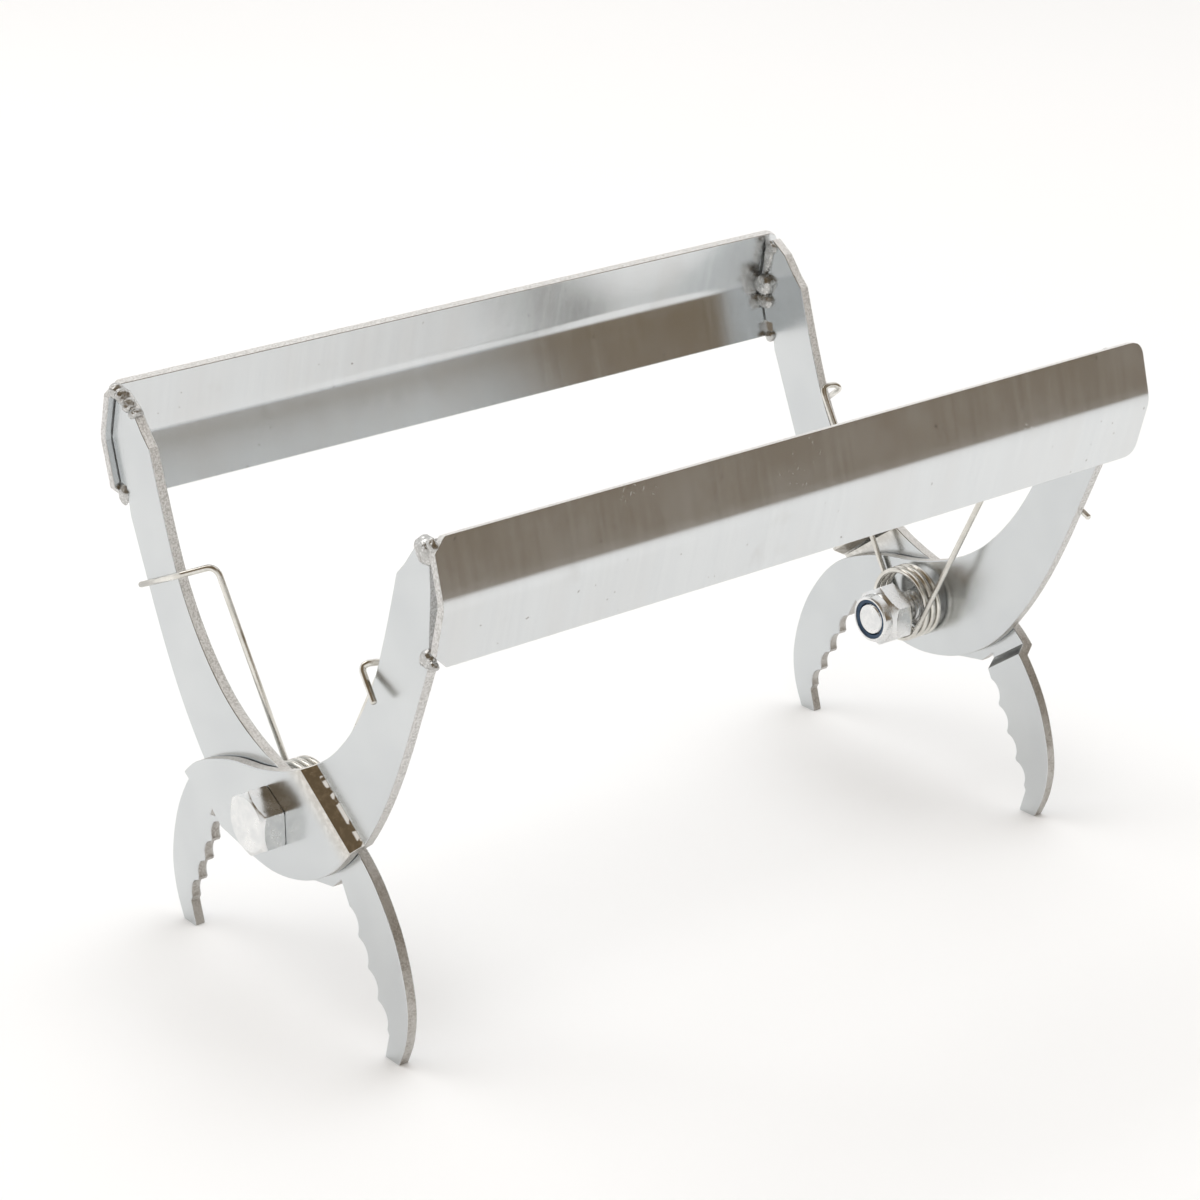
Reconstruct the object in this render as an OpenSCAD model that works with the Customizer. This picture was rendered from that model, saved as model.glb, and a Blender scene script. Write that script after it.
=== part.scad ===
// Squeeze-handled frame grip: two toothed-jaw handles crossing on a common pivot line.
// X runs across the handles, Y along the handle bars, Z up from the jaw tips.
// The part is drawn at rest: handles apart and jaws open.

/* [Handle bars] */
// How far both bars run past the outer faces of the near plates
bar_over = 1.5; // [0:0.5:4]
// How far the front bar runs past the outer face of its far plate
front_over = 4.5; // [0:0.5:8]
// How far the back bar runs past the outer face of its far plate
back_over = 1; // [0:0.5:8]
// Distance from the middle of the part to the outer fold line of a bar
bar_x = 62.7; // [60:0.1:80]
// Height of the fold line above the pivot line
bar_rise = 66.9; // [60:0.1:80]
// Thickness of the bar sheet
bar_t = 2; // [1.5:0.1:2.5]
// Width of the upper flange
flange_up = 13.5; // [11:0.5:16]
// Width of the lower flange
flange_low = 14.5; // [11:0.5:16]
// Lean of both flanges away from vertical
flange_lean = 15; // [10:1:20]
// Size of the trimmed corners at the ends of the flanges
bar_trim = 3; // [1:0.5:4]

/* [Jaw plates] */
// Thickness of the plate sheet
plate_t = 2.5; // [2:0.1:3]
// Distance between the outer faces of the two plates of a handle
plate_span = 187; // [140:1:200]
// Running gap between crossing plates
plate_gap = 0.3; // [0.2:0.05:0.5]
// Height of the pivot line above the jaw tips
pivot_z = 41.5; // [38:0.5:44]
// Distance from the pivot to the start of each step of a stepped plate
step_start = 20.5; // [20.5:0.1:23]
// Run of each step, measured along the sheet
step_run = 2; // [1:0.1:2.5]
// Direction in which the steps lie, from the X axis
step_angle = 54; // [54:1:60]

/* [Jaw teeth] */
// Number of gullets between the teeth of one jaw
gullets = 4; // [3:1:4]
// Spacing of the gullets
gullet_pitch = 6.8; // [6:0.1:7]
// Radius of a gullet
gullet_r = 3.8; // [3.2:0.1:3.8]

/* [Pivot bolts] */
// Diameter of the bolt shank
bolt_d = 8; // [6:1:8]
// Width across the flats of the bolt head and of the nut
hex_af = 13; // [10:0.5:13]
// Height of the bolt head
head_h = 5.3; // [4:0.1:6]
// Height of the lock nut, collar included
nut_h = 8; // [6:0.5:8]
// Height of the round collar of the lock nut
collar_h = 2.6; // [2:0.1:3]

/* [Springs] */
// Diameter of the spring wire
wire_d = 1.4; // [1:0.1:1.6]
// Mean radius of the coil
coil_r = 8.3; // [8:0.1:8.6]
// Height of the coil's middle above the pivot line
coil_lift = 1.5; // [0:0.5:2]

/* [Hidden] */
$fn = 48;

steel = "silver";
plate_y = plate_span / 2;                 // outer face of the plates from the middle
bar_near = -plate_y - bar_over;           // near end of both bars
bolt_fit = 0.1;                           // radial play of the bolts in the plates
face_gap = 0.1;                           // axial play under the bolt heads
coil_gap = 0.3;                           // gap beside and between the springs
thread_clear = 0.02;                      // nut and insert sit this far off the shank
step_h = plate_t + plate_gap;             // how far a stepped plate stands out
hex_r = hex_af / sqrt(3);                 // hexagon, centre to corner
coil_pitch = wire_d + 0.02;               // turns lie side by side
outer_sweep = 540;                        // turning angle of the half next to the plates
inner_sweep = 640;                        // turning angle of the half next to the nut
coil_len = 2 * wire_d + coil_gap + coil_pitch * (outer_sweep + inner_sweep) / 360;
leg_angle = 40;                           // the legs leave the coil this far below level
nut_y = plate_y - plate_t - coil_len - 2 * coil_gap;  // bearing face of the nut
outer_y = -plate_y + plate_t + coil_gap + wire_d / 2;  // wire next to the plate
inner_y = outer_y + coil_len - wire_d;    // wire next to the nut
wire_y = plate_y + wire_d / 2 + 0.15;     // wire lying on the outer face of a plate
insert_d = bolt_d + 2.6;                  // outside of the nylon insert
mouth_d = bolt_d + 1.6;                   // opening in the lip that holds the insert
lip_h = 0.4;                              // thickness of that lip
eps = 0.01;

// Smooth closed-form curve (Catmull-Rom) through a list of points, steps per span.
function spline(p, steps) = [
    for (i = [0 : len(p) - 2])
        let (a = p[max(i - 1, 0)], b = p[i], c = p[i + 1], d = p[min(i + 2, len(p) - 1)])
        for (k = [0 : steps - 1])
            let (t = k / steps)
            0.5 * (2 * b + (c - a) * t + (2 * a - 5 * b + 4 * c - d) * t * t
                + (3 * b - a - 3 * c + d) * t * t * t),
    p[len(p) - 1]];

// ---------- jaw plate outline: pivot at the origin, arm towards +X, jaw towards -X ----------

jaw_back = [[-41.3, -pivot_z], [-43.8, -35.5], [-44.8, -28.3], [-43.6, -20.7], [-40.9, -13],
    [-36.9, -6.2], [-32.2, -0.6], [-26, 3.8], [-14.4, 8.1], [-2.5, 10.3], [9, 14],
    [18.3, 19.3], [25.5, 26], [31.3, 33.6], [36, 42], [39.3, 50.4], [42.2, 59], [45.1, 68.4]];
arm_end = [[47.7, 71], [51.2, 75.4], [55.9, 78.4], [56.1, 67.4], [55.2, 56.2]];
arm_out = [[54.3, 50.5], [49.5, 39], [45.2, 28.9], [41, 20.2], [36.8, 12.8], [32.4, 6.3],
    [27.7, 0.5], [22.4, -4.3], [15.9, -8.3], [8.5, -11], [0.5, -12.2], [-7, -11.6]];
jaw_front = [[-19.1, -9.4], [-22.4, -6.5], [-38, -35.9], [-36.4, -pivot_z]];
first_gullet = [-24.3, -15.2];
edge_dir = [-0.468, -0.883];              // toothed edge, from the pivot to the tip

module plate_outline() {
    difference() {
        polygon(concat(spline(jaw_back, 4), arm_end, spline(arm_out, 4), jaw_front));
        for (i = [0 : gullets - 1])
            translate(first_gullet + i * gullet_pitch * edge_dir)
                circle(r = gullet_r, $fn = 32);
        circle(d = bolt_d + 2 * bolt_fit);
    }
}

// Side view of a stepped sheet: flat, stepped out over the pivot, flat again.
module stepped_profile() {
    reach = 130;
    a = step_start;
    b = step_start + step_run;
    lift = plate_t * step_run / (step_run + step_h);   // keeps the sheet thick in the steps
    polygon([[-reach, 0], [-b, 0], [-a, step_h], [a, step_h], [b, 0], [reach, 0],
        [reach, -plate_t], [b - lift, -plate_t], [a - lift, step_h - plate_t],
        [-a + lift, step_h - plate_t], [-b + lift, -plate_t], [-reach, -plate_t]]);
}

// Plate standing upright in the XZ plane, outer face at y = 0 facing -Y.
module flat_plate() {
    rotate([90, 0, 0]) translate([0, 0, -plate_t]) linear_extrude(plate_t) plate_outline();
}

module stepped_plate() {
    intersection() {
        rotate([90, 0, 0]) translate([0, 0, -plate_t]) linear_extrude(plate_t + step_h)
            plate_outline();
        rotate([0, -step_angle, 0]) mirror([0, 1, 0])
            linear_extrude(260, center = true) stepped_profile();
    }
}

// Puts a shape drawn for the near end of the front handle at its place.
module at_near() { translate([0, -plate_y, pivot_z]) children(); }
module at_far() { mirror([0, 1, 0]) at_near() children(); }
module other_handle() { mirror([1, 0, 0]) children(); }
module far_end() { rotate([0, 0, 180]) children(); }

// ---------- handle bar: sheet folded along its length, fold pointing outwards ----------

module flange(width, lean, bar_len) {
    // one flange hanging from the fold line, trimmed at its free corners
    rotate([0, lean, 0]) rotate([90, 0, 90]) translate([0, 0, -bar_t])
        linear_extrude(bar_t) polygon([[0, 0], [bar_len, 0], [bar_len, width - bar_trim],
            [bar_len - bar_trim, width], [bar_trim, width], [0, width - bar_trim]]);
}

module bar(far_over) {
    bar_len = plate_span + bar_over + far_over;
    translate([bar_x, bar_near, pivot_z + bar_rise]) {
        difference() {
            union() {
                flange(flange_up, -flange_lean, bar_len);
                mirror([0, 0, 1]) flange(flange_low, -flange_lean, bar_len);
            }
            // nothing stands proud of the fold
            translate([0, -1, -5]) cube([5, bar_len + 2, 10]);
        }
        // fills the wedge inside the fold
        rotate([-90, 0, 0]) linear_extrude(bar_len)
            polygon([[0, 0], [-bar_t / cos(flange_lean), 0], [-bar_t * cos(flange_lean),
                -bar_t * sin(flange_lean)]]);
    }
}

// ---------- welds ----------

// Beads at the upper and lower corners where a plate meets its bar; x and z from the pivot.
module weld_beads(y) {
    translate([55.6, y, 76.2]) sphere(r = 2.6, $fn = 32);
    translate([55.4, y, 53.7]) sphere(r = 2, $fn = 32);
}

module near_welds() {
    difference() {
        at_near() weld_beads(0.3);
        at_near() flat_plate();
        bar(front_over);
    }
}

module far_welds() {
    difference() {
        at_far() weld_beads(plate_t - 0.3);
        at_far() flat_plate();
        bar(front_over);
    }
}

// ---------- pivot hardware ----------

module along_y(y) { translate([0, y, pivot_z]) rotate([-90, 0, 0]) children(); }

module bolt() {
    head_y = -plate_y - step_h - face_gap - head_h;
    end_y = -nut_y + nut_h;
    intersection() {
        along_y(head_y) cylinder(r = hex_r, h = head_h, $fn = 6);
        // chamfered corners of the head
        along_y(head_y) cylinder(r1 = hex_af / 2 - 0.2, r2 = hex_af / 2 + 7, h = 10.5);
    }
    along_y(head_y + head_h - eps) cylinder(d = bolt_d, h = end_y - head_y - head_h);
}

module lock_nut() {
    bore = bolt_d + 2 * thread_clear;
    difference() {
        union() {
            along_y(-nut_y) intersection() {
                cylinder(r = hex_r, h = nut_h - collar_h, $fn = 6);
                translate([0, 0, -5]) cylinder(r1 = hex_af / 2 + 7.3, r2 = hex_af / 2 - 0.1,
                    h = nut_h - collar_h + 5.1);
            }
            along_y(-nut_y + nut_h - collar_h - eps) cylinder(d = hex_af - 1.6, h = collar_h);
        }
        along_y(-nut_y - 1) cylinder(d = bore, h = nut_h + 2);
        along_y(-nut_y + nut_h - collar_h / 2) cylinder(d = mouth_d, h = collar_h);
        insert_space();
    }
}

module insert_space() {
    along_y(-nut_y + nut_h - collar_h) cylinder(d = insert_d, h = collar_h - lip_h);
}

module nylon_insert() {
    difference() {
        insert_space();
        along_y(-nut_y) cylinder(d = bolt_d + 2 * thread_clear, h = nut_h);
    }
}

// ---------- torsion springs ----------

// Round wire along a list of points, as one closed skin.
module wire(path) {
    sides = 8;
    n = len(path);
    function unit(v) = v / norm(v);
    ring = [for (i = [0 : n - 1])
        let (t = unit(path[min(i + 1, n - 1)] - path[max(i - 1, 0)]),
            u = unit(cross(t, abs(t[1]) > 0.9 ? [1, 0, 0] : [0, 1, 0])),
            v = cross(t, u))
        for (k = [0 : sides - 1])
            path[i] + wire_d / 2 * (cos(360 * k / sides) * u + sin(360 * k / sides) * v)];
    walls = [for (i = [0 : n - 2], k = [0 : sides - 1])
        [i * sides + k, i * sides + (k + 1) % sides,
            (i + 1) * sides + (k + 1) % sides, (i + 1) * sides + k]];
    first = [for (k = [sides - 1 : -1 : 0]) k];
    last = [for (k = [0 : sides - 1]) (n - 1) * sides + k];
    polyhedron(ring, concat([first], walls, [last]));
}

// Part of a coil round the pivot line; the angle runs from a0 to a1 as y runs from y0 to y1.
function coil_path(y0, y1, a0, a1) = [
    for (k = [0 : 36]) let (a = a0 + (a1 - a0) * k / 36)
        [coil_r * cos(a), y0 + (y1 - y0) * k / 36, coil_lift + coil_r * sin(a)]];

// Both halves are drawn for the near spring, with x and z from the pivot.
// Half next to the plates: its leg runs up behind the +X arm and hooks over its inner edge.
module spring_outer_half() {
    root_y = outer_y + coil_pitch * outer_sweep / 360;
    path = concat(coil_path(root_y, outer_y, -leg_angle - outer_sweep, -leg_angle),
        [[34.6, outer_y, 44.2], [35.3, outer_y - 0.4, 45.4], [35.2, outer_y - 1.6, 46],
            [34.5, -wire_y + 0.9, 46], [34, -wire_y + 0.1, 45.4],
            [34.4, -wire_y - 0.3, 44.6], [40.3, -wire_y - 1.85, 40.3]]);
    translate([0, 0, pivot_z]) wire(path);
}

// Half next to the nut: its leg leans out to the -X arm and lies across its outer face.
module spring_inner_half() {
    root_y = inner_y - coil_pitch * inner_sweep / 360;
    path = concat(coil_path(root_y, inner_y, 180 + leg_angle + inner_sweep, 180 + leg_angle),
        [[-27, -plate_y + 4.8, 44.4], [-27.8, -plate_y + 4.3, 45.4],
            [-29, -plate_y + 3.6, 45.6], [-33.5, -wire_y + 0.2, 43.6], [-34.7, -wire_y, 43],
            [-50, -wire_y, 36.2]]);
    translate([0, 0, pivot_z]) wire(path);
}

// ---------- nodes ----------

module front_bar() { color(steel) bar(front_over); }
module back_bar() { color(steel) other_handle() bar(back_over); }
module front_plate_near() { color(steel) at_near() stepped_plate(); }
module front_plate_far() { color(steel) at_far() flat_plate(); }
module back_plate_near() { color(steel) other_handle() at_near() flat_plate(); }
module back_plate_far() { color(steel) other_handle() at_far() stepped_plate(); }
module front_welds_near() { color("gray") near_welds(); }
module front_welds_far() { color("gray") far_welds(); }
module back_welds_near() { color("gray") other_handle() near_welds(); }
module back_welds_far() { color("gray") other_handle() far_welds(); }
module bolt_near() { color("gainsboro") bolt(); }
module bolt_far() { color("gainsboro") far_end() bolt(); }
module lock_nut_near() { color("gainsboro") lock_nut(); }
module lock_nut_far() { color("gainsboro") far_end() lock_nut(); }
module nylon_insert_near() { color("midnightblue") nylon_insert(); }
module nylon_insert_far() { color("midnightblue") far_end() nylon_insert(); }
module spring_near_back() { color("lightgray") spring_inner_half(); }
module spring_near_front() { color("lightgray") spring_outer_half(); }
module spring_far_back() { color("lightgray") far_end() spring_outer_half(); }
module spring_far_front() { color("lightgray") far_end() spring_inner_half(); }

front_bar();
back_bar();
front_plate_near();
front_plate_far();
back_plate_near();
back_plate_far();
front_welds_near();
front_welds_far();
back_welds_near();
back_welds_far();
bolt_near();
bolt_far();
lock_nut_near();
lock_nut_far();
nylon_insert_near();
nylon_insert_far();
spring_near_back();
spring_near_front();
spring_far_back();
spring_far_front();
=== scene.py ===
import math

import bmesh
import bpy
from mathutils import Matrix, Vector, noise


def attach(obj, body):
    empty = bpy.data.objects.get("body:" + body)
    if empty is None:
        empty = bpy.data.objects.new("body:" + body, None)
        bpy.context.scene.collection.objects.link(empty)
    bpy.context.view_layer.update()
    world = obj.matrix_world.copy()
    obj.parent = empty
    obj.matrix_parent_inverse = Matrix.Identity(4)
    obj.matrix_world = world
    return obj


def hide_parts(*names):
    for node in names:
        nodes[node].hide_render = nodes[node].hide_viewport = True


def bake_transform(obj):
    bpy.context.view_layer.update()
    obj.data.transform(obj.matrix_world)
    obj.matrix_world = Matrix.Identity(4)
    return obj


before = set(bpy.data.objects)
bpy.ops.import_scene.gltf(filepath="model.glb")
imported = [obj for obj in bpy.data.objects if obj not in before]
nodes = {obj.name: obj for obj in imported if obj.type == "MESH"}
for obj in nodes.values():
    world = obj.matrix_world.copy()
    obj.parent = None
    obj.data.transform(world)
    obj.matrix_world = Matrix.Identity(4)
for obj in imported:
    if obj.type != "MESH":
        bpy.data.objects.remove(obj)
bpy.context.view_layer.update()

MM = 0.001
scene = bpy.context.scene

# Places that the CAD fixes, in millimetres.
PLATE_Y = 93.5          # outer face of the plates, from the middle
PLATE_T = 2.5
PIVOT_Z = 41.5
BAR_X = 62.7            # fold line of a bar, from the middle
BAR_FOLD_Z = 108.4      # height of the fold line
BAR_T = 2.0
FLANGE_UP = 13.5
FLANGE_LOW = 14.5
LEAN = math.radians(15)
STEP_ANGLE = math.radians(54)  # direction of the step of a stepped plate, from the x axis
EDGE_PALE_Z = (0.035, 0.075)  # heights in metres between which cut edges turn paler
WIRE_R = 0.7
COIL_R = 8.3
COIL_Z = PIVOT_Z + 1.5
OUTER_Y = -90.0         # wire of the coil next to the plates
INNER_Y = -83.65        # wire of the coil next to the nut


# ---------- mesh helpers ----------

def new_object(name, verts, faces, smooth=True):
    """Mesh object from millimetre coordinates."""
    mesh = bpy.data.meshes.new(name)
    mesh.from_pydata([Vector(v) * MM for v in verts], [], faces)
    mesh.validate()
    obj = bpy.data.objects.new(name, mesh)
    scene.collection.objects.link(obj)
    bm = bmesh.new()
    bm.from_mesh(mesh)
    bmesh.ops.recalc_face_normals(bm, faces=bm.faces)
    bm.to_mesh(mesh)
    bm.free()
    for poly in mesh.polygons:
        poly.use_smooth = smooth
    return obj


def round_corners(points, radius, steps=6):
    """The same route with each inner corner replaced by a short curve."""
    out = [points[0]]
    for i in range(1, len(points) - 1):
        corner = points[i]
        before = points[i - 1] - corner
        after = points[i + 1] - corner
        reach = min(radius, before.length * 0.48, after.length * 0.48)
        start = corner + before.normalized() * reach
        end = corner + after.normalized() * reach
        for k in range(steps + 1):
            t = k / steps
            out.append(start * (1 - t) ** 2 + corner * 2 * t * (1 - t) + end * t ** 2)
    out.append(points[-1])
    return out


def tube(name, path, radius, sides=14):
    """Round wire along a path, its ends closed with a small dome."""
    clean = [path[0]]
    for p in path[1:]:
        if (p - clean[-1]).length > 0.02:
            clean.append(p)
    n = len(clean)
    tangents = []
    for i in range(n):
        tangents.append((clean[min(i + 1, n - 1)] - clean[max(i - 1, 0)]).normalized())
    side = tangents[0].orthogonal().normalized()
    verts, faces, rings = [], [], []
    for i in range(n):
        side = (side - tangents[i] * side.dot(tangents[i])).normalized()
        up = tangents[i].cross(side)
        sizes = [(0.0, radius)]
        if i == 0:
            sizes = [(-0.25 * radius, radius * 0.7), (0.0, radius * 0.95)]
        if i == n - 1:
            sizes = [(0.0, radius * 0.95), (0.25 * radius, radius * 0.7)]
        for shift, size in sizes:
            centre = clean[i] + tangents[i] * shift
            rings.append(len(verts))
            for k in range(sides):
                a = 2 * math.pi * k / sides
                verts.append(centre + side * size * math.cos(a) + up * size * math.sin(a))
    for r0, r1 in zip(rings, rings[1:]):
        for k in range(sides):
            m = (k + 1) % sides
            faces.append((r0 + k, r0 + m, r1 + m, r1 + k))
    faces.append(tuple(range(rings[0], rings[0] + sides)))
    faces.append(tuple(range(rings[-1], rings[-1] + sides)))
    return new_object(name, verts, faces)


# ---------- material helpers ----------

class Nodes:
    """Small wrapper that adds shader nodes and links them."""

    def __init__(self, name):
        self.material = bpy.data.materials.new(name)
        self.material.use_nodes = True
        self.tree = self.material.node_tree
        self.shader = self.tree.nodes["Principled BSDF"]

    def link(self, source, target):
        if isinstance(source, (int, float)):
            target.default_value = source
        elif isinstance(source, tuple):
            target.default_value = (*source, 1.0) if len(source) == 3 else source
        else:
            self.tree.links.new(source, target)

    def coordinates(self, scale=(1, 1, 1), turn=(0, 0, 0)):
        """Object coordinates, turned first and stretched after."""
        vector = self.tree.nodes.new("ShaderNodeTexCoord").outputs["Object"]
        for label, value in (("Rotation", turn), ("Scale", scale)):
            mapping = self.tree.nodes.new("ShaderNodeMapping")
            mapping.inputs[label].default_value = value
            self.tree.links.new(vector, mapping.inputs["Vector"])
            vector = mapping.outputs["Vector"]
        return vector

    def near(self, centre, inner, outer):
        """1 within the inner radius of a point in millimetres, 0 beyond the outer one."""
        coord = self.tree.nodes.new("ShaderNodeTexCoord")
        node = self.tree.nodes.new("ShaderNodeVectorMath")
        node.operation = "DISTANCE"
        self.tree.links.new(coord.outputs["Object"], node.inputs[0])
        node.inputs[1].default_value = Vector(centre) * MM
        return self.ramp(node.outputs["Value"], inner * MM, outer * MM, 1.0, 0.0)

    def noise(self, vector, scale, detail=4.0, rough=0.6):
        tex = self.tree.nodes.new("ShaderNodeTexNoise")
        tex.inputs["Scale"].default_value = scale
        tex.inputs["Detail"].default_value = detail
        tex.inputs["Roughness"].default_value = rough
        self.tree.links.new(vector, tex.inputs["Vector"])
        return tex.outputs["Fac"]

    def cells(self, vector, scale):
        tex = self.tree.nodes.new("ShaderNodeTexVoronoi")
        tex.inputs["Scale"].default_value = scale
        self.tree.links.new(vector, tex.inputs["Vector"])
        return tex.outputs["Distance"]

    def ramp(self, source, low, high, to_low=0.0, to_high=1.0):
        node = self.tree.nodes.new("ShaderNodeMapRange")
        node.interpolation_type = "SMOOTHSTEP"
        self.link(source, node.inputs["Value"])
        node.inputs["From Min"].default_value = low
        node.inputs["From Max"].default_value = high
        node.inputs["To Min"].default_value = to_low
        node.inputs["To Max"].default_value = to_high
        return node.outputs["Result"]

    def math(self, operation, a, b=0.0):
        node = self.tree.nodes.new("ShaderNodeMath")
        node.operation = operation
        self.link(a, node.inputs[0])
        self.link(b, node.inputs[1])
        return node.outputs[0]

    def band(self, source, rise, fall):
        """1 between two values of the source, 0 on both sides."""
        return self.math("MULTIPLY", self.ramp(source, *rise), self.ramp(source, *fall, 1.0, 0.0))

    def mix(self, factor, a, b):
        node = self.tree.nodes.new("ShaderNodeMix")
        node.data_type = "RGBA"
        self.link(factor, node.inputs[0])
        self.link(a, node.inputs[6])
        self.link(b, node.inputs[7])
        return node.outputs[2]

    def bump(self, height, strength, distance, after=None):
        node = self.tree.nodes.new("ShaderNodeBump")
        node.inputs["Strength"].default_value = strength
        node.inputs["Distance"].default_value = distance
        self.link(height, node.inputs["Height"])
        if after is not None:
            self.tree.links.new(after, node.inputs["Normal"])
        return node.outputs["Normal"]

    def normal_axes(self):
        """Size of the surface normal along each axis, in the piece's own frame."""
        coord = self.tree.nodes.new("ShaderNodeTexCoord")
        split = self.tree.nodes.new("ShaderNodeSeparateXYZ")
        self.tree.links.new(coord.outputs["Normal"], split.inputs[0])
        return [self.math("ABSOLUTE", split.outputs[k]) for k in range(3)]

    def place(self):
        """Coordinates of the point, in metres."""
        coord = self.tree.nodes.new("ShaderNodeTexCoord")
        split = self.tree.nodes.new("ShaderNodeSeparateXYZ")
        self.tree.links.new(coord.outputs["Object"], split.inputs[0])
        return split.outputs

    def finish(self, color, roughness, normal=None, metallic=1.0):
        self.link(color, self.shader.inputs["Base Color"])
        self.link(roughness, self.shader.inputs["Roughness"])
        self.link(metallic, self.shader.inputs["Metallic"])
        if normal is not None:
            self.tree.links.new(normal, self.shader.inputs["Normal"])
        return self.material


def dashes(mat, turn, stretch, where):
    """Mask of short straight scratches inside another mask."""
    distance = mat.cells(mat.coordinates(scale=stretch, turn=turn), 1.0)
    return mat.math("MULTIPLY", mat.ramp(distance, 0.06, 0.16, 1.0, 0.0), where)


def plate_material(name, bend):
    """Bright sheet: flat faces with fine grain, rough blanked edges.

    bend is 1 for the stepped sheet of the near end, -1 for the same sheet turned round at the far
    end, and 0 for a sheet without a step.
    """
    m = Nodes(name)
    here = m.coordinates()
    x, _, level = m.place()
    edge = m.ramp(m.normal_axes()[1], 0.2, 0.4, 1.0, 0.0)
    cloud = m.noise(here, 45.0, detail=4.0)
    grain = m.noise(here, 2400.0, detail=3.0)
    speckle = m.noise(here, 2300.0, detail=3.0, rough=0.7)
    drift = m.noise(here, 160.0, detail=3.0)
    face = m.mix(m.ramp(cloud, 0.3, 0.7), (0.600, 0.620, 0.630), (0.655, 0.675, 0.680))
    face = m.mix(m.ramp(grain, 0.62, 0.8, 0.0, 0.5), face, (0.45, 0.445, 0.44))
    line = dashes(m, (0.0, 0.6, 0.0), (150, 40, 2400), m.ramp(cloud, 0.56, 0.62))
    face = m.mix(m.math("MULTIPLY", line, 0.5), face, (0.86, 0.86, 0.86))
    rough = m.ramp(cloud, 0.3, 0.7, 0.20, 0.27)
    if bend:
        # painted reflection: the sheet is drawn darker, warmer and streaked along the step it was
        # pressed into, where it would mirror the dark part of the room, and it is made smoother
        # there
        along = m.math("MULTIPLY", x, math.cos(STEP_ANGLE) * bend)
        height = m.math("MULTIPLY", m.math("SUBTRACT", level, PIVOT_Z * MM), math.sin(STEP_ANGLE))
        reach = m.math("ADD", along, height)
        painted_step_reflection = m.band(reach, (0.0140, 0.0200), (0.0224, 0.0227))
        streak = m.noise(here, 700.0, detail=4.0)
        step_reflection_tone = m.mix(m.ramp(streak, 0.4, 0.7), (0.56, 0.54, 0.50), (0.76, 0.74, 0.70))
        face = m.mix(painted_step_reflection, face, step_reflection_tone)
        # painted highlight: a broken bright line along the far edge of the step
        step_highlight = m.band(reach, (0.0219, 0.0221), (0.0224, 0.0226))
        step_highlight = m.math("MULTIPLY", step_highlight, m.ramp(drift, 0.46, 0.50))
        face = m.mix(m.math("MULTIPLY", step_highlight, 0.9), face, (0.97, 0.97, 0.96))
        rough = m.math("SUBTRACT", rough, m.math("MULTIPLY", painted_step_reflection, 0.05))
    side = m.mix(m.ramp(speckle, 0.36, 0.66), (0.33, 0.305, 0.275), (0.56, 0.54, 0.51))
    side = m.mix(m.ramp(drift, 0.4, 0.62, 0.0, 0.6), side, (0.60, 0.59, 0.565))
    pale = m.mix(m.ramp(speckle, 0.36, 0.6), (0.50, 0.49, 0.47), (0.80, 0.795, 0.785))
    side = m.mix(m.ramp(level, *EDGE_PALE_Z), side, pale)
    color = m.mix(edge, face, side)
    rough = m.math("ADD", rough, m.math("MULTIPLY", edge, 0.16))
    fine = m.bump(grain, 0.10, 0.00005)
    coarse = m.bump(speckle, 0.25, 0.00016)
    relief = m.tree.nodes.new("ShaderNodeMix")
    relief.data_type = "VECTOR"
    m.link(edge, relief.inputs[0])
    m.link(fine, relief.inputs[4])
    m.link(coarse, relief.inputs[5])
    # a cut edge is partly matt, and so is the painted highlight along the step
    matt = m.math("MULTIPLY", edge, m.ramp(level, 0.030, 0.075, 0.30, 0.80))
    if bend:
        matt = m.math("MAXIMUM", matt, m.math("MULTIPLY", step_highlight, 0.85))
    return m.finish(color, rough, relief.outputs[1], m.math("SUBTRACT", 1.0, matt))


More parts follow.
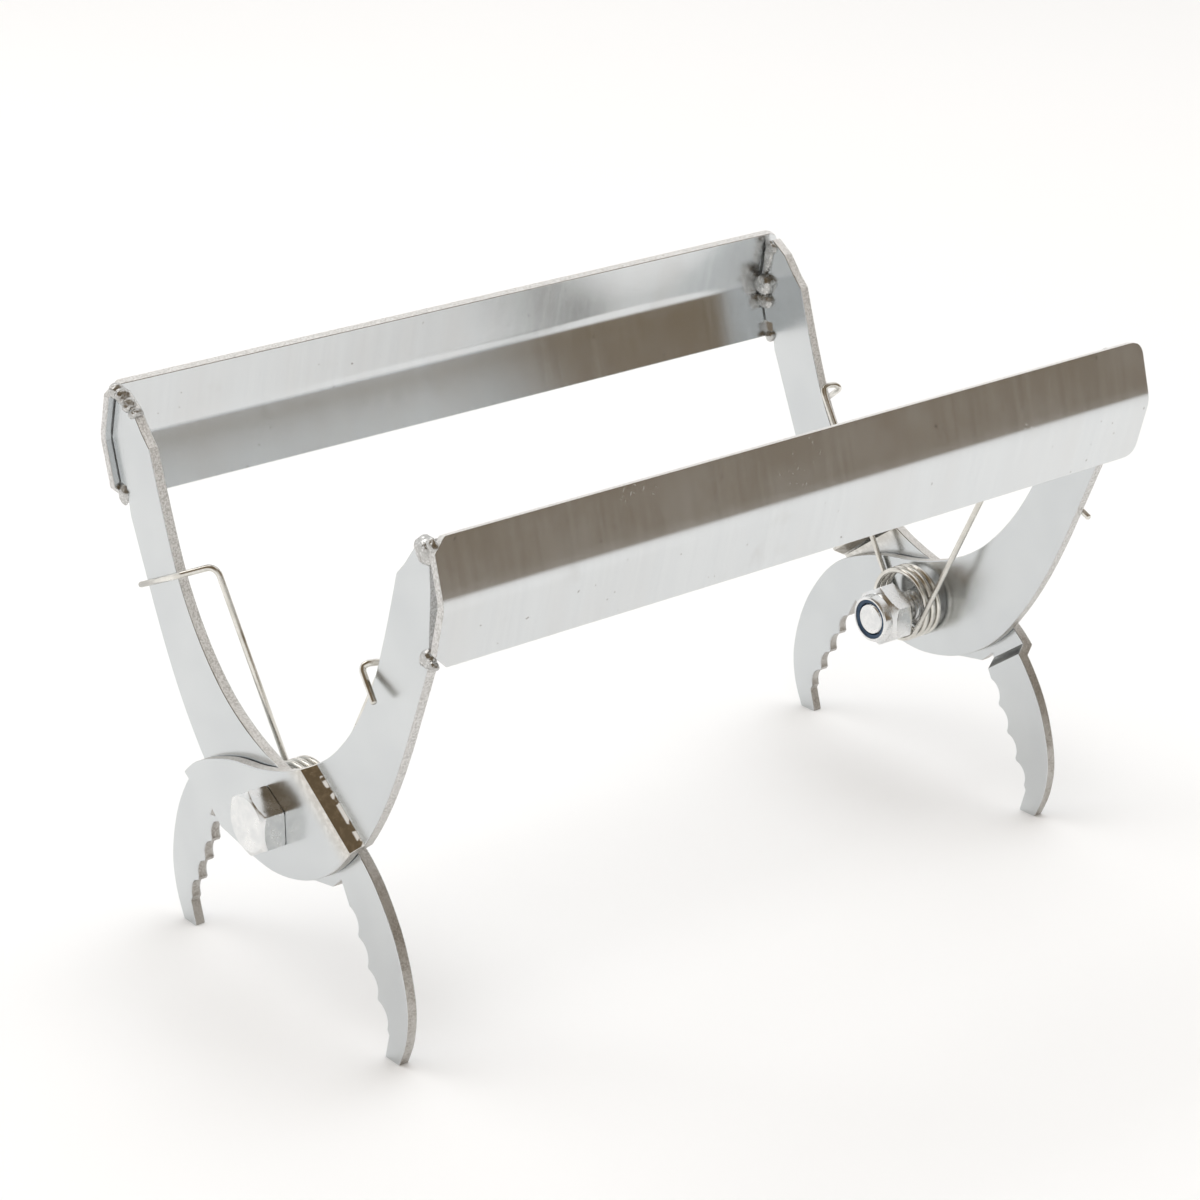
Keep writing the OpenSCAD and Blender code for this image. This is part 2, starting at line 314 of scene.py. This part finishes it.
def bar_material():
    """Cold-rolled sheet: faint streaks across the bar, small scratches, speckled cut edges."""
    m = Nodes("bar_steel")
    here = m.coordinates()
    _, along, upwards = m.normal_axes()
    edge = m.math("MAXIMUM", m.ramp(along, 0.4, 0.6), m.ramp(upwards, 0.6, 0.8))
    streak = m.noise(m.coordinates(scale=(25, 650, 25)), 1.0, detail=4.0, rough=0.6)
    broad = m.noise(m.coordinates(scale=(14, 60, 14)), 1.0, detail=3.0)
    cloud = m.noise(here, 90.0, detail=5.0, rough=0.6)
    grain = m.noise(here, 2600.0, detail=3.0)
    speckle = m.noise(here, 2300.0, detail=3.0, rough=0.7)
    # three scratched places on the front bar
    worn = m.math("MAXIMUM", m.near((59.5, -47.6, 120.0), 2, 9), m.near((60.2, -3.8, 117.8), 2, 8))
    worn = m.math("MAXIMUM", worn, m.near((64.0, 60.0, 110.0), 1, 5))
    mostly = m.math("MULTIPLY", worn, m.ramp(cloud, 0.42, 0.5))
    partly = m.math("MULTIPLY", worn, m.ramp(cloud, 0.5, 0.56))
    slant = dashes(m, (0.55, 0.0, 0.0), (60, 1500, 260), mostly)
    cross = dashes(m, (-0.9, 0.0, 0.0), (60, 1700, 330), partly)
    scuff = m.math("MAXIMUM", slant, cross)
    face = m.mix(m.ramp(streak, 0.3, 0.7), (0.705, 0.725, 0.735), (0.735, 0.755, 0.762))
    face = m.mix(m.ramp(broad, 0.4, 0.7, 0.0, 0.35), face, (0.68, 0.675, 0.665))
    face = m.mix(m.ramp(cloud, 0.60, 0.80, 0.0, 0.22), face, (0.46, 0.44, 0.41))
    pits = m.ramp(m.noise(here, 750.0, detail=1.0), 0.76, 0.80)
    face = m.mix(m.math("MULTIPLY", pits, 0.6), face, (0.22, 0.20, 0.18))
    face = m.mix(m.math("MULTIPLY", scuff, 0.7), face, (0.97, 0.97, 0.97))
    side = m.mix(m.ramp(speckle, 0.36, 0.62), (0.52, 0.51, 0.49), (0.78, 0.775, 0.765))
    color = m.mix(edge, face, side)
    rough = m.ramp(streak, 0.25, 0.75, 0.22, 0.24)
    rough = m.math("ADD", rough, m.ramp(cloud, 0.35, 0.7, -0.01, 0.02))
    rough = m.math("ADD", rough, m.math("MULTIPLY", scuff, 0.25))
    rough = m.math("ADD", rough, m.math("MULTIPLY", edge, 0.12))
    relief = m.bump(streak, 0.03, 0.00003)
    relief = m.bump(grain, 0.08, 0.00004, relief)
    relief = m.bump(m.math("MULTIPLY", speckle, edge), 0.3, 0.0002, relief)
    return m.finish(color, rough, relief, m.ramp(edge, 0.0, 1.0, 1.0, 0.25))


def zinc_material():
    """Bright plated hardware with slight mottling."""
    m = Nodes("zinc_plate")
    here = m.coordinates()
    mottle = m.noise(here, 320.0, detail=5.0)
    grain = m.noise(here, 2600.0, detail=2.0)
    color = m.mix(m.ramp(mottle, 0.35, 0.65), (0.72, 0.73, 0.73), (0.84, 0.84, 0.83))
    color = m.mix(m.ramp(grain, 0.66, 0.8), color, (0.5, 0.5, 0.49))
    rough = m.ramp(mottle, 0.3, 0.7, 0.16, 0.30)
    relief = m.bump(mottle, 0.12, 0.0002)
    relief = m.bump(grain, 0.08, 0.00005, relief)
    return m.finish(color, rough, relief)


def wire_material():
    """Drawn wire, bright and slightly warm."""
    m = Nodes("drawn_wire")
    here = m.coordinates()
    mottle = m.noise(here, 240.0, detail=4.0)
    grain = m.noise(here, 3000.0, detail=2.0)
    color = m.mix(m.ramp(mottle, 0.35, 0.65), (0.66, 0.64, 0.59), (0.80, 0.78, 0.73))
    color = m.mix(m.ramp(grain, 0.64, 0.8), color, (0.42, 0.40, 0.37))
    rough = m.ramp(mottle, 0.3, 0.7, 0.17, 0.28)
    return m.finish(color, rough, m.bump(grain, 0.12, 0.00006))


def weld_material():
    """Frosted weld metal with coarse crystals and dark pits."""
    m = Nodes("weld_beads")
    here = m.coordinates()
    distance = m.cells(here, 1500.0)
    cloud = m.noise(here, 420.0, detail=4.0)
    color = m.mix(m.ramp(distance, 0.0, 0.6), (0.72, 0.715, 0.70), (0.50, 0.495, 0.48))
    color = m.mix(m.ramp(cloud, 0.58, 0.74), color, (0.20, 0.17, 0.14))
    rough = m.ramp(cloud, 0.3, 0.7, 0.18, 0.42)
    relief = m.bump(distance, 0.35, 0.0002)
    relief = m.bump(cloud, 0.4, 0.0005, relief)
    return m.finish(color, rough, relief)


def nylon_material():
    """Dark blue nylon ring."""
    m = Nodes("blue_ring")
    here = m.coordinates()
    cloud = m.noise(here, 500.0, detail=4.0)
    color = m.mix(cloud, (0.010, 0.030, 0.075), (0.030, 0.085, 0.16))
    rough = m.ramp(cloud, 0.3, 0.7, 0.35, 0.5)
    return m.finish(color, rough, m.bump(cloud, 0.1, 0.0001), metallic=0.0)


PLATE = plate_material("plate_steel", 0)
STEPPED_FRONT = plate_material("stepped_steel_front", 1)
STEPPED_BACK = plate_material("stepped_steel_back", -1)
BAR = bar_material()
ZINC = zinc_material()
WIRE = wire_material()
WELD = weld_material()
NYLON = nylon_material()


def dress(obj, material):
    """Gives every face of an object the same material."""
    if not obj.data.materials:
        obj.data.materials.append(material)
    for place in obj.material_slots:
        place.material = material


# ---------- CAD pieces that stay ----------

def round_edges(obj, width, angle):
    """Rounds the edges of a piece that are sharper than the angle."""
    bevel = obj.modifiers.new("soften", "BEVEL")
    bevel.width = width * MM
    bevel.segments = 2
    bevel.limit_method = "ANGLE"
    bevel.angle_limit = math.radians(angle)
    bevel.harden_normals = True


def soften(name):
    """Welds the split corners of a CAD piece and rounds its sharp edges."""
    obj = nodes[name]
    join = obj.modifiers.new("join", "WELD")
    join.merge_threshold = 1e-6
    round_edges(obj, 0.25, 60)
    return obj


dress(soften("front_plate_near"), STEPPED_FRONT)
dress(soften("back_plate_near"), PLATE)
dress(soften("front_plate_far"), PLATE)
dress(soften("back_plate_far"), STEPPED_BACK)
for end in ("near", "far"):
    dress(nodes[f"nylon_insert_{end}"], NYLON)


# ---------- pivot hardware ----------

HEX_AF = 13.0
HEAD_FRONT_Y = -101.7
HEAD_BACK_Y = -96.4
NUT_BACK_Y = -82.65
NUT_FRONT_Y = -74.65
COLLAR = 2.6             # round part of the nut, which holds the nylon ring
BOLT_R = 4.0
PLAIN_SHANK = 8
THREAD_PITCH = 1.25


def mark_sharp(obj, degrees):
    """Keeps smooth shading except across edges sharper than this."""
    bm = bmesh.new()
    bm.from_mesh(obj.data)
    for e in bm.edges:
        if len(e.link_faces) == 2:
            e.smooth = e.calc_face_angle() < math.radians(degrees)
    bm.to_mesh(obj.data)
    bm.free()


def turned_hex(name, profile, end, closed_ring=False):
    """Hexagonal bar turned to a profile of (y, radius, hexagonal) along the pivot line."""
    sides = 96
    sign = 1 if end == "near" else -1
    verts, faces = [], []
    for y, radius, hexagonal in profile:
        for k in range(sides):
            a = 2 * math.pi * k / sides
            r = radius
            if hexagonal:
                # corners point straight up and down
                local = (math.degrees(a) + 30) % 60 - 30
                flat = HEX_AF / 2 / math.cos(math.radians(30 - abs(local)))
                r = min(radius, flat)
            verts.append((sign * r * math.sin(a), sign * y, PIVOT_Z + r * math.cos(a)))
    rings = len(profile)
    for i in range(rings - 1):
        for k in range(sides):
            m = (k + 1) % sides
            faces.append((i * sides + k, i * sides + m, (i + 1) * sides + m, (i + 1) * sides + k))
    if closed_ring:
        last = (rings - 1) * sides
        for k in range(sides):
            m = (k + 1) % sides
            faces.append((last + k, last + m, m, k))
    else:
        faces.append(tuple(range(sides)))
        faces.append(tuple(range((rings - 1) * sides, rings * sides)))
    obj = new_object(name, verts, faces)
    mark_sharp(obj, 24)
    dress(obj, ZINC)
    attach(obj, "back_handle")
    return obj


def chamfer(y0, y1, r0, r1, steps=5):
    """Rings of a cone that trims the corners of the hexagon."""
    return [(y0 + (y1 - y0) * k / steps, r0 + (r1 - r0) * k / steps, True)
            for k in range(steps + 1)]


def bolt_profile():
    """Rings of the bolt from the face of its head to its tip."""
    corner = HEX_AF / math.sqrt(3)
    rings = [(HEAD_FRONT_Y + 0.08, 5.7, False), (HEAD_FRONT_Y, 6.0, False)]
    rings += chamfer(HEAD_FRONT_Y, HEAD_FRONT_Y + 0.85, 6.05, corner)
    rings += [(HEAD_BACK_Y - 0.15, corner, True), (HEAD_BACK_Y, corner - 0.2, True),
              (HEAD_BACK_Y, BOLT_R, False)]
    y = HEAD_BACK_Y + PLAIN_SHANK
    while y < NUT_FRONT_Y - 1.6:
        rings += [(y, BOLT_R - 0.02, False), (y + 0.55, BOLT_R - 0.3, False),
                  (y + 0.7, BOLT_R - 0.3, False)]
        y += THREAD_PITCH
    rings += [(NUT_FRONT_Y - 0.9, BOLT_R - 0.02, False), (NUT_FRONT_Y - 0.15, BOLT_R - 0.5, False),
              (NUT_FRONT_Y - 0.1, BOLT_R - 1.0, False)]
    return rings


def nut_profile():
    """Rings of the nut round its outside and back through its bore."""
    corner = HEX_AF / math.sqrt(3)
    hex_end = NUT_FRONT_Y - COLLAR
    bore = BOLT_R + 0.02
    return ([(NUT_BACK_Y, bore, False), (NUT_BACK_Y, 6.2, False)]
            + chamfer(NUT_BACK_Y, NUT_BACK_Y + 0.7, 6.25, corner)
            + chamfer(hex_end - 0.8, hex_end + 0.1, corner, 6.1)
            + [(hex_end + 0.45, 5.8, False), (NUT_FRONT_Y - 0.7, 5.7, False),
               (NUT_FRONT_Y - 0.25, 5.55, False), (NUT_FRONT_Y, 5.2, False),
               (NUT_FRONT_Y, 4.85, False), (NUT_FRONT_Y - 0.4, 4.8, False),
               (NUT_FRONT_Y - 0.4, 5.3, False), (hex_end, 5.3, False), (hex_end, bore, False)])


for end in ("near", "far"):
    bolt = turned_hex(f"bolt_{end}_turned", bolt_profile(), end)
    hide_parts(f"bolt_{end}")
    nut = turned_hex(f"lock_nut_{end}_turned", nut_profile(), end, closed_ring=True)
    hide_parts(f"lock_nut_{end}")


# ---------- handle bars: folded sheet with a soft bend ----------

BEND_R = 7.0             # outside radius of the fold
BEND_STEPS = 8
FLANGE_STEPS = 6
TRIM_ZONE = 4.0          # depth of the closely spaced rows at the rim of a flange
BAR_COLUMNS = 120


def bar_rows():
    """Outside of the folded sheet from the upper rim to the lower one.

    Each row has a point (x outwards from the fold, z up from it), the direction out of the sheet,
    and the height above the fold along the flange.
    """
    up = Vector((-math.sin(LEAN), math.cos(LEAN)))
    down = Vector((-math.sin(LEAN), -math.cos(LEAN)))
    out_up = Vector((math.cos(LEAN), math.sin(LEAN)))
    out_down = Vector((math.cos(LEAN), -math.sin(LEAN)))
    top = up * FLANGE_UP
    low = down * FLANGE_LOW
    centre = Vector((-BEND_R / math.cos(LEAN), 0.0))
    arc = []
    for k in range(BEND_STEPS + 1):
        a = LEAN * (1 - 2 * k / BEND_STEPS)
        out = Vector((math.cos(a), math.sin(a)))
        arc.append((centre + BEND_R * out, out))
    rows = [(top, out_up, top.length)]
    # close rows near the rims, so that the trimmed corners keep their shape
    for t in (0.15, 0.3, 0.45, 0.6, 0.75, 0.9):
        p = top - up * (TRIM_ZONE * t)
        rows.append((p, out_up, p.length))
    for k in range(2, FLANGE_STEPS):
        p = top.lerp(arc[0][0], k / FLANGE_STEPS)
        rows.append((p, out_up, p.length))
    for p, out in arc:
        rows.append((p, out, p.y))
    for k in range(1, FLANGE_STEPS - 1):
        p = arc[-1][0].lerp(low, k / FLANGE_STEPS)
        rows.append((p, out_down, -p.length))
    for t in (0.9, 0.75, 0.6, 0.45, 0.3, 0.15, 0.0):
        p = low - down * (TRIM_ZONE * t)
        rows.append((p, out_down, -p.length))
    return rows


def end_cut(height, trim):
    """How far an end is cut back at this height; trim is (upper size, lower size, rounded)."""
    upper, lower, rounded = trim
    size = upper if height > 0 else lower
    flange = FLANGE_UP if height > 0 else FLANGE_LOW
    over = abs(height) - (flange - size)
    if over <= 0 or size <= 0:
        return 0.0
    if rounded:
        return size - math.sqrt(max(size * size - over * over, 0.0))
    return over


def build_bar(name, sign, y0, y1, trims):
    """A folded bar between y0 and y1, with one trim for each end."""
    rows = bar_rows()
    count = len(rows)
    verts, faces = [], []
    for c in range(BAR_COLUMNS + 1):
        f = c / BAR_COLUMNS
        for layer in (0.0, BAR_T):
            for p, n, h in rows:
                ya = y0 + end_cut(h, trims[0])
                yb = y1 - end_cut(h, trims[1])
                q = p - n * layer
                verts.append((sign * (BAR_X + q.x), ya + (yb - ya) * f, BAR_FOLD_Z + q.y))
    ring = 2 * count
    last = count - 1
    for c in range(BAR_COLUMNS):
        base = c * ring
        following = base + ring
        for i in range(last):
            j = count + i
            faces.append((base + i, base + i + 1, following + i + 1, following + i))
            faces.append((base + j + 1, base + j, following + j, following + j + 1))
        faces.append((base, following, following + count, base + count))
        faces.append((base + last, base + count + last, following + count + last,
                      following + last))
    for base in (0, BAR_COLUMNS * ring):
        for i in range(last):
            faces.append((base + i, base + i + 1, base + count + i + 1, base + count + i))
    obj = new_object(name, verts, faces)
    round_edges(obj, 0.22, 50)
    dress(obj, BAR)
    return obj


front_bar = build_bar("front_bar_sheet", 1, -95.0, 98.0, [(3.0, 3.0, False), (3.0, 3.0, True)])
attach(front_bar, "front_handle")
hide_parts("front_bar")
back_bar = build_bar("back_bar_sheet", -1, -95.0, 94.5, [(3.0, 3.0, False), (3.0, 3.0, True)])
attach(back_bar, "back_handle")
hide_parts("back_bar")


# ---------- springs ----------

def near_to_end(points, end):
    """Turns near-end coordinates half a turn about the middle for the far end."""
    if end == "near":
        return [Vector(p) for p in points]
    return [Vector((-p[0], -p[1], p[2])) for p in points]


COIL_START = math.radians(-40)
COIL_SWEEP = math.radians(-1180)
COIL_STEPS = 200
LEG_BEND = 1.0           # reach of the bend at each corner of a leg


def coil_points():
    """One helix from the plate side to the nut side."""
    out = []
    for k in range(COIL_STEPS + 1):
        t = k / COIL_STEPS
        a = COIL_START + COIL_SWEEP * t
        y = OUTER_Y + (INNER_Y - OUTER_Y) * t
        out.append(Vector((COIL_R * math.cos(a), y, COIL_Z + COIL_R * math.sin(a))))
    return out


def spring(end, outer_body, inner_body):
    """Coil that twists between the handles, with a rigid leg on each of them."""
    coil = tube(f"spring_{end}_coil", near_to_end(coil_points(), end), WIRE_R)
    z = PIVOT_Z
    first = coil_points()
    outer = [first[0], Vector((34.6, -90, z + 44.2)), Vector((35.3, -90.4, z + 45.4)),
             Vector((35.2, -91.6, z + 46)), Vector((34.5, -93.45, z + 46)),
             Vector((34, -94.25, z + 45.4)), Vector((34.4, -94.65, z + 44.6)),
             Vector((40.3, -96.2, z + 40.3))]
    inner = [first[-1], Vector((-27, -88.7, z + 44.4)), Vector((-27.8, -89.2, z + 45.4)),
             Vector((-29, -89.9, z + 45.6)), Vector((-33.5, -94.15, z + 43.6)),
             Vector((-34.7, -94.35, z + 43)), Vector((-50, -94.35, z + 36.2))]
    outer_path = near_to_end(round_corners(outer, LEG_BEND), end)
    inner_path = near_to_end(round_corners(inner, LEG_BEND), end)
    outer_leg = tube(f"spring_{end}_outer_leg", outer_path, WIRE_R)
    inner_leg = tube(f"spring_{end}_inner_leg", inner_path, WIRE_R)
    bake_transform(coil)
    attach(outer_leg, outer_body)
    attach(inner_leg, inner_body)
    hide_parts(f"spring_{end}_front", f"spring_{end}_back")
    for piece in (coil, outer_leg, inner_leg):
        dress(piece, WIRE)


spring("near", "front_handle", "back_handle")
spring("far", "back_handle", "front_handle")


# ---------- welds ----------

def bead(centre, radii, seed, turn=0.0):
    """A lumpy drop of weld metal."""
    bm = bmesh.new()
    bmesh.ops.create_icosphere(bm, subdivisions=4, radius=1.0)
    rot = Matrix.Rotation(turn, 3, "Y")
    for v in bm.verts:
        p = v.co.copy()
        lump = noise.noise(p * 1.3 + Vector((seed, 0, 0))) * 0.16
        lump += noise.noise(p * 3.1 + Vector((0, seed, 0))) * 0.07
        p *= 1 + lump
        v.co = (Vector(centre) + rot @ Vector((p.x * radii[0], p.y * radii[1], p.z * radii[2]))) * MM
    return bm


def beads(name, drops, body, replaced):
    """Several drops of weld metal, each (centre, radii, turn), as one piece."""
    whole = bmesh.new()
    mesh = bpy.data.meshes.new(name)
    for i, (centre, radii, turn) in enumerate(drops):
        one = bead(centre, radii, 3.7 * i + len(name), turn)
        part = bpy.data.meshes.new("drop")
        one.to_mesh(part)
        one.free()
        whole.from_mesh(part)
        bpy.data.meshes.remove(part)
    whole.to_mesh(mesh)
    whole.free()
    for poly in mesh.polygons:
        poly.use_smooth = True
    obj = bpy.data.objects.new(name, mesh)
    scene.collection.objects.link(obj)
    dress(obj, WELD)
    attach(obj, body)
    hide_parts(replaced)


TOP_Z = PIVOT_Z + 76.2   # upper and lower welds of a bar
LOW_Z = PIVOT_Z + 53.7
beads("front_beads_near",
      [((55.4, -93.4, TOP_Z), (3.0, 2.0, 2.9), 0.0),
       ((57.9, -94.0, TOP_Z + 1.6), (1.9, 0.9, 1.5), 0.5),
       ((55.0, -93.4, LOW_Z), (2.1, 1.4, 2.0), 0.0),
       ((57.0, -93.8, LOW_Z - 0.4), (1.7, 0.9, 0.9), 0.2)],
      "front_handle", "front_welds_near")
beads("back_beads_near",
      [((-57.6, -93.2, PIVOT_Z + 77.9), (2.1, 1.7, 1.8), 0.0),
       ((-55.3, -93.1, PIVOT_Z + 77.4), (2.0, 1.7, 1.6), 0.4),
       ((-53.2, -92.9, PIVOT_Z + 75.9), (1.8, 1.6, 1.6), 0.0),
       ((-51.0, -92.7, PIVOT_Z + 74.4), (1.8, 1.6, 1.1), -0.6),
       ((-56.6, -93.2, LOW_Z + 1.0), (1.9, 1.2, 2.3), 0.3)],
      "back_handle", "back_welds_near")
beads("front_beads_far",
      [((55.6, 91.3, TOP_Z), (2.4, 1.9, 2.2), 0.0), ((55.4, 91.3, LOW_Z), (1.8, 1.6, 1.8), 0.0)],
      "front_handle", "front_welds_far")
beads("back_beads_far",
      [((-57.9, 90.4, PIVOT_Z + 66.6), (2.9, 1.9, 2.7), 0.0),
       ((-57.6, 90.6, PIVOT_Z + 62.4), (2.5, 1.3, 1.8), 0.2),
       ((-57.0, 91.2, PIVOT_Z + 73.5), (1.4, 1.1, 4.6), 0.25),
       ((-55.6, 91.3, TOP_Z), (1.5, 1.4, 1.5), 0.0), ((-55.6, 91.0, LOW_Z), (1.5, 1.2, 1.4), 0.0)],
      "back_handle", "back_welds_far")


# ---------- corner webs ----------

def web(name, end):
    """Corner of the back sheet that reaches into the fold of its bar."""
    outline = [(-55.6, 77.2), (-57.8, 75.6), (-60.2, 66.9), (-57.6, 57.2), (-55.0, 57.0),
               (-55.9, 67.4)]
    sign = 1 if end == "near" else -1
    verts = []
    for y in (-PLATE_Y + 0.05, -PLATE_Y + PLATE_T - 0.05):
        for x, z in outline:
            verts.append((x, sign * y, PIVOT_Z + z))
    count = len(outline)
    faces = [tuple(range(count)), tuple(range(count, 2 * count))]
    for k in range(count):
        m = (k + 1) % count
        faces.append((k, m, count + m, count + k))
    obj = new_object(name, verts, faces, smooth=False)
    bevel = obj.modifiers.new("soften", "BEVEL")
    bevel.width = 0.15 * MM
    bevel.segments = 2
    dress(obj, PLATE)
    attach(obj, "back_handle")


web("back_web_near", "near")
web("back_web_far", "far")


# ---------- floor, light, camera ----------

def make_floor():
    """Plain pale sheet that the jaw tips stand on."""
    size = 6000
    steps = 8
    verts, faces = [], []
    for i in range(steps + 1):
        for k in range(steps + 1):
            verts.append((size * (i / steps - 0.5), size * (k / steps - 0.5), 0.0))
    for i in range(steps):
        for k in range(steps):
            a = i * (steps + 1) + k
            faces.append((a, a + 1, a + steps + 2, a + steps + 1))
    floor = new_object("floor", verts, faces)
    m = Nodes("pale_floor")
    cloud = m.noise(m.coordinates(), 3.0, detail=2.0)
    color = m.mix(cloud, (0.90, 0.91, 0.92), (0.92, 0.93, 0.94))
    dress(floor, m.finish(color, 0.9, metallic=0.0))
    m.shader.inputs["Specular IOR Level"].default_value = 0.0


# directions of the dark parts, and the cosines at which each one begins and is full
DARK_PARTS = (((0.78, 0.50, 0.26), 0.45, 0.92), ((0.10, -0.55, 0.83), 0.50, 0.85))
DARK_COLOR = (0.185, 0.137, 0.085, 1.0)


def make_world():
    """White studio with two darker, warmer parts above the horizon."""
    world = bpy.data.worlds.new("studio")
    scene.world = world
    world.use_nodes = True
    tree = world.node_tree
    back = tree.nodes["Background"]
    coord = tree.nodes.new("ShaderNodeTexCoord")
    shares = []
    for toward, low, high in DARK_PARTS:
        dot = tree.nodes.new("ShaderNodeVectorMath")
        dot.operation = "DOT_PRODUCT"
        dot.inputs[1].default_value = Vector(toward).normalized()
        tree.links.new(coord.outputs["Generated"], dot.inputs[0])
        share = tree.nodes.new("ShaderNodeMapRange")
        share.interpolation_type = "SMOOTHSTEP"
        share.inputs["From Min"].default_value = low
        share.inputs["From Max"].default_value = high
        tree.links.new(dot.outputs["Value"], share.inputs["Value"])
        shares.append(share.outputs["Result"])
    larger = tree.nodes.new("ShaderNodeMath")
    larger.operation = "MAXIMUM"
    tree.links.new(shares[0], larger.inputs[0])
    tree.links.new(shares[1], larger.inputs[1])
    mix = tree.nodes.new("ShaderNodeMix")
    mix.data_type = "RGBA"
    mix.inputs[6].default_value = (1.0, 1.0, 1.0, 1.0)
    mix.inputs[7].default_value = DARK_COLOR
    tree.links.new(larger.outputs[0], mix.inputs[0])
    tree.links.new(mix.outputs[2], back.inputs["Color"])
    back.inputs["Strength"].default_value = 1.0


def area_light(name, place, target, size, power):
    """Soft rectangular light, places in metres and power in watts."""
    data = bpy.data.lights.new(name, "AREA")
    data.shape = "RECTANGLE"
    data.size = size[0]
    data.size_y = size[1]
    data.energy = power
    obj = bpy.data.objects.new(name, data)
    scene.collection.objects.link(obj)
    obj.location = Vector(place)
    obj.rotation_mode = "QUATERNION"
    obj.rotation_quaternion = (Vector(target) - Vector(place)).to_track_quat("-Z", "Y")
    return obj


def make_camera():
    """Long lens, seen from the front right corner and slightly above."""
    data = bpy.data.cameras.new("camera")
    data.lens = 97.96
    data.sensor_width = 36.0
    data.clip_start = 0.01
    data.clip_end = 50
    obj = bpy.data.objects.new("camera", data)
    scene.collection.objects.link(obj)
    obj.location = (0.5220, -0.4242, 0.3422)
    obj.rotation_euler = (math.radians(67.658), math.radians(0.096), math.radians(51.372))
    scene.camera = obj


make_floor()
make_world()
area_light("overhead_left", (-0.9, -0.5, 1.3), (0, 0, 0.05), (0.9, 0.9), 4.0)
ceiling = area_light("ceiling", (0, 0, 2.0), (0, 0, 0), (3.4, 3.4), 42.0)
ceiling.visible_glossy = False
make_camera()
scene.view_settings.view_transform = "Standard"
